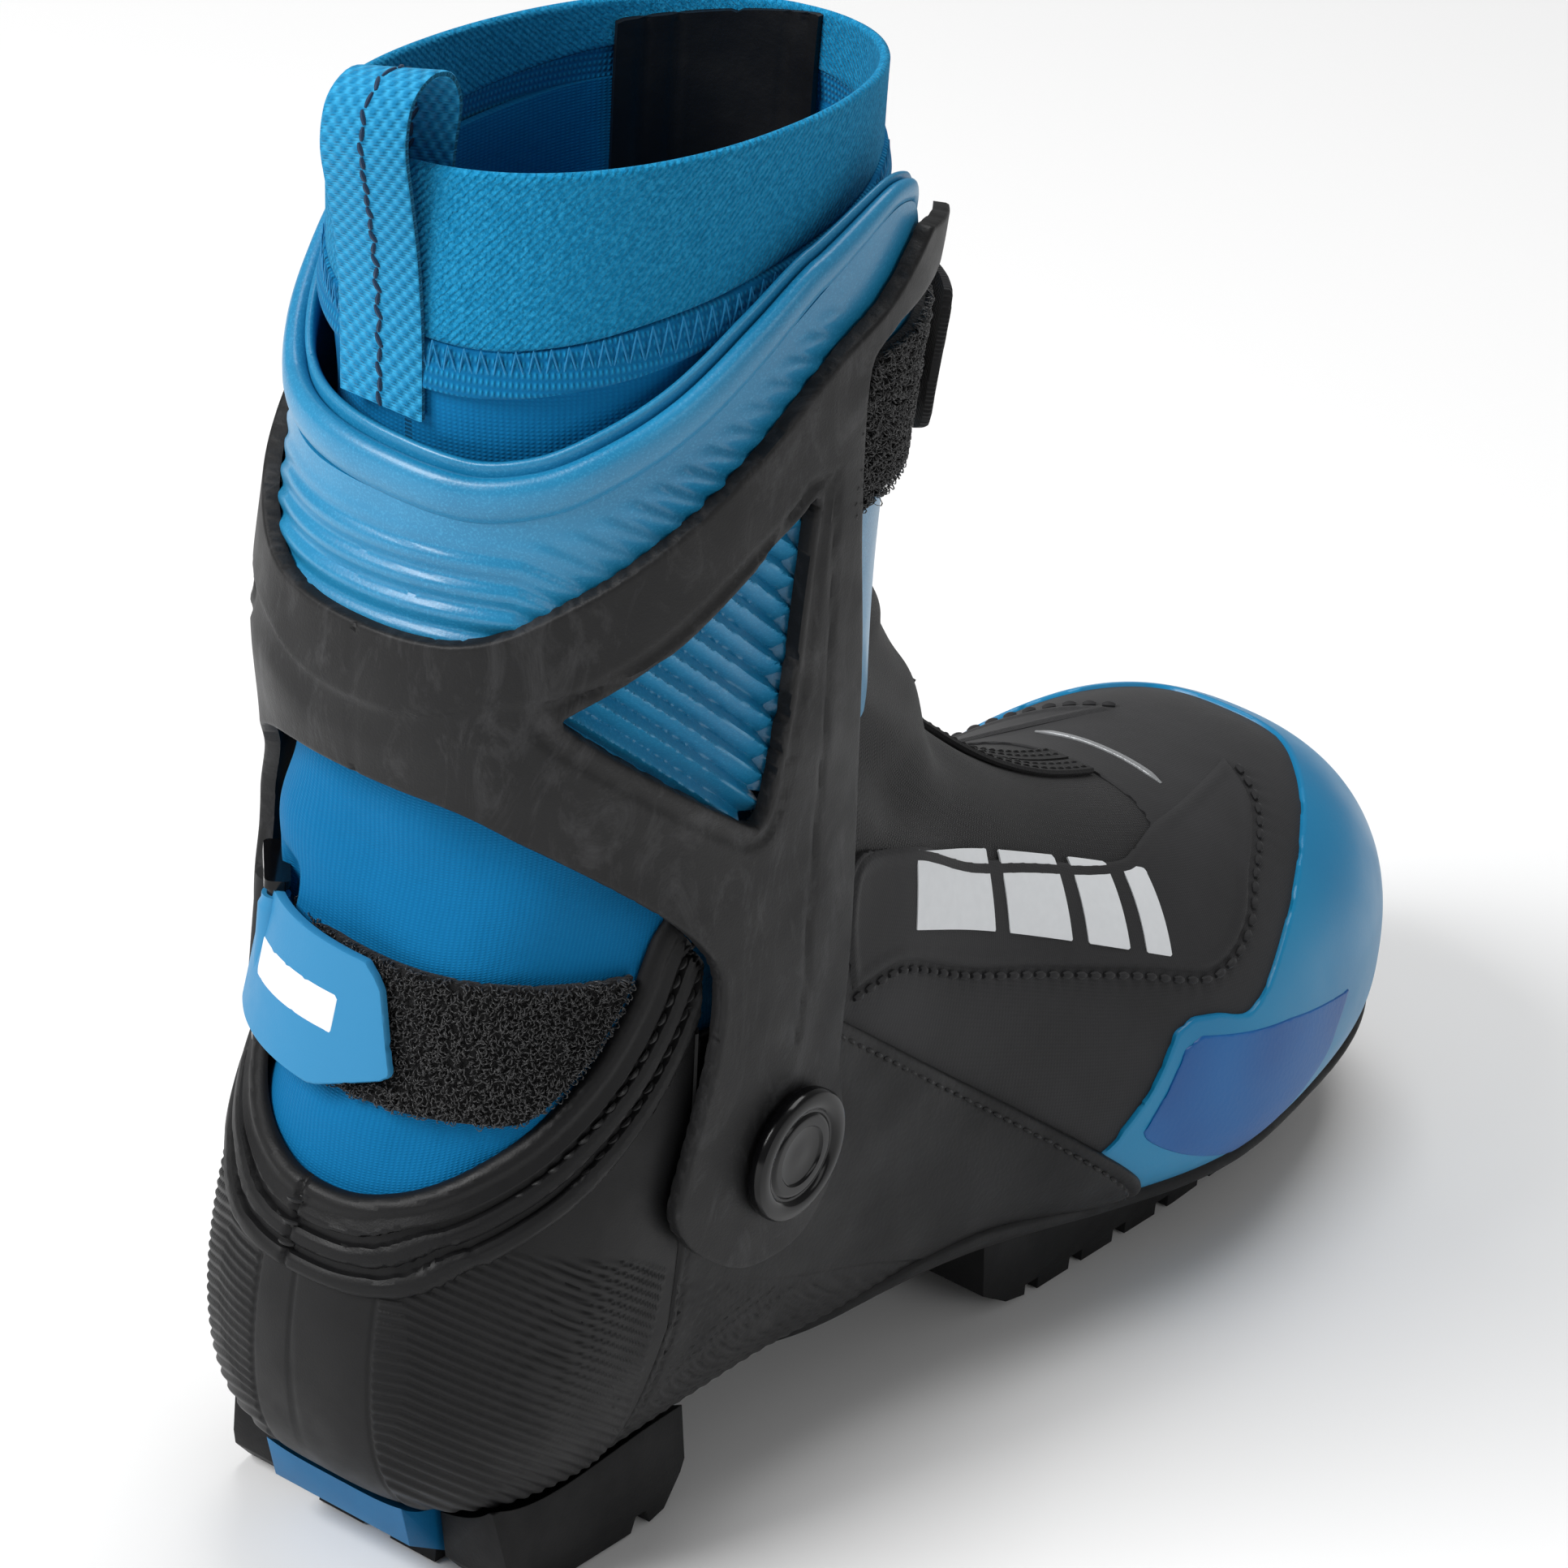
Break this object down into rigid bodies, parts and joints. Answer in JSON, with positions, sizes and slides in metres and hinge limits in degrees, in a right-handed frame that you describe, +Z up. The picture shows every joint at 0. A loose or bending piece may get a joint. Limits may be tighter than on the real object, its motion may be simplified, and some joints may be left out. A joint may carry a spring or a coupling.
{
  "type": "cross country ski boot",
  "caption": "Skating ski boot with a hinged cuff, heel and cuff straps, stretch ankle, knit collar, lugged sole and a steel toe bar.",
  "frame": {"origin": "bottom centre of the whole boot's box, on the floor", "axes": "+X towards the toe, +Y towards the inner (medial) side, +Z up"},
  "size_m": [0.3043, 0.1031, 0.2781],
  "materials": {
    "sole_black": "matte moulded rubber",
    "tread_black": "matte moulded rubber",
    "heel_blue": "satin moulded plastic",
    "block_black": "glass filled nylon",
    "steel": "drawn steel bar",
    "footbed": "felt topped foam",
    "cup_black": "fine ribbed plastic",
    "shell_black": "satin, fine leather grain",
    "softshell": "laminated softshell",
    "gaiter_black": "stretch woven",
    "azure_stretch": "fine rib stretch fabric",
    "azure_knit": "heathered elastic knit",
    "azure_webbing": "woven webbing",
    "bootie_lining": "brushed lining",
    "foam_blue": "satin moulded foam",
    "cuff_graphite": "fibre filled plastic with fine grain",
    "gloss_black": "polished",
    "strap_black": "loop pile",
    "tab_blue": "matt film on webbing",
    "band_blue": "satin film",
    "band_dark_blue": "satin film with fine dots",
    "panel_black": "smooth coated fabric",
    "reflective": "reflective film",
    "zip_black": "zip tape",
    "zip_metal": "black painted die casting"
  },
  "bodies": {
    "boot": {"outsole": "sole_black", "heel_lug_lateral": "tread_black", "heel_lug_medial": "tread_black", "heel_insert": "heel_blue", "heel_tread_centre": "tread_black", "forefoot_tread_lateral": "tread_black", "guide_strip": "tread_black", "forefoot_tread_medial": "tread_black", "toe_bar_block": "block_black", "toe_bar": "steel", "insole": "footbed", "heel_cup": "cup_black", "heel_cup_rim": "cup_black", "lateral_shell": "shell_black", "medial_shell": "shell_black", "softshell_vamp": "softshell", "instep_gaiter": "gaiter_black", "ankle_sleeve": "azure_stretch", "inner_bootie": "bootie_lining", "toe_band": "band_blue", "reflective_strip": "reflective", "toe_inset_lateral": "band_dark_blue", "toe_inset_medial": "band_dark_blue", "quarter_overlay_lateral": "softshell", "quarter_overlay_medial": "softshell", "tongue": "bootie_lining", "zip_tape": "zip_black", "heel_strap_band": "strap_black", "heel_strap_ring": "gloss_black", "heel_ring_webbing": "strap_black", "pivot_post_lateral": "gloss_black", "pivot_post_medial": "gloss_black", "pivot_cap_lateral": "gloss_black", "pivot_cap_medial": "gloss_black"},
    "cuff": {"cuff_frame": "cuff_graphite", "cuff_liner": "foam_blue", "upper_sleeve": "azure_stretch", "knit_collar": "azure_knit", "collar_panel": "panel_black", "pull_loop": "azure_webbing", "cuff_strap_band": "strap_black", "cuff_strap_ring": "gloss_black", "cuff_ring_webbing": "strap_black"},
    "heel_tab": {"heel_strap_tab": "tab_blue"},
    "cuff_strap": {"cuff_strap_end": "strap_black"},
    "zip_slider": {"zip_slider": "zip_metal"},
    "zip_puller": {"zip_puller": "zip_metal"}
  },
  "joints": [
    {"name": "cuff_flex", "type": "hinge", "parent": "boot", "child": "cuff", "pos_m": [-0.0783, 0.0009, 0.078], "axis": [0, 1, 0], "range_deg": [-6, 18], "deforming": ["ankle_sleeve", "instep_gaiter", "inner_bootie"]},
    {"name": "heel_tab_open", "type": "hinge", "parent": "boot", "child": "heel_tab", "pos_m": [-0.1335, 0.0247, 0.107], "axis": [0, 0, -1], "range_deg": [0, 70]},
    {"name": "cuff_strap_open", "type": "hinge", "parent": "cuff", "child": "cuff_strap", "pos_m": [-0.0535, 0.0399, 0.208], "axis": [0, 0, 1], "range_deg": [0, 60]},
    {"name": "zip_slide", "type": "slide", "parent": "boot", "child": "zip_slider", "axis": [0.7916, -0.2639, -0.5512], "range_m": [0, 0.03]},
    {"name": "zip_puller_lift", "type": "hinge", "parent": "zip_slider", "child": "zip_puller", "pos_m": [0.00707, 0.01123, 0.12089], "axis": [-0.2639, -0.9611, 0.0812], "range_deg": [0, 150]}
  ]
}
